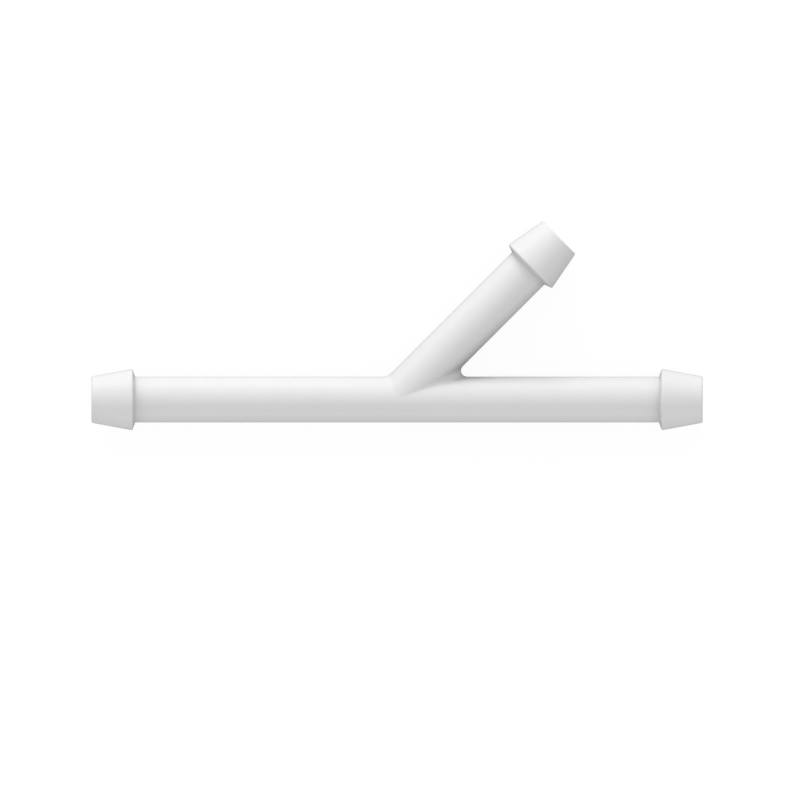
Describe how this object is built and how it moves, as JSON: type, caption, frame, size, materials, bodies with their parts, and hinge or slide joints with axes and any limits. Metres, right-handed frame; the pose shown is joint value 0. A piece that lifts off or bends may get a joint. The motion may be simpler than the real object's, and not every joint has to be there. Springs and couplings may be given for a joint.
{
  "type": "tubing y connector",
  "caption": "One-piece plastic tubing Y connector: a straight tube with a branch at 45 degrees and a tapered hose barb on each open end.",
  "frame": {"origin": "where the three bore axes meet, in the middle of the straight run", "axes": "+X along the run's bore towards the end that the branch leans to, +Y in the plane of the Y towards the side that the branch leaves from, +Z square to that plane; the part lies flat on its three barb rims, with its lowest points at Z = -6.35 mm"},
  "size_m": [0.127, 0.0433, 0.0126],
  "materials": {
    "moulded_plastic": "satin white, as moulded"
  },
  "bodies": {
    "root": {"y_connector": "moulded_plastic"}
  },
  "joints": []
}
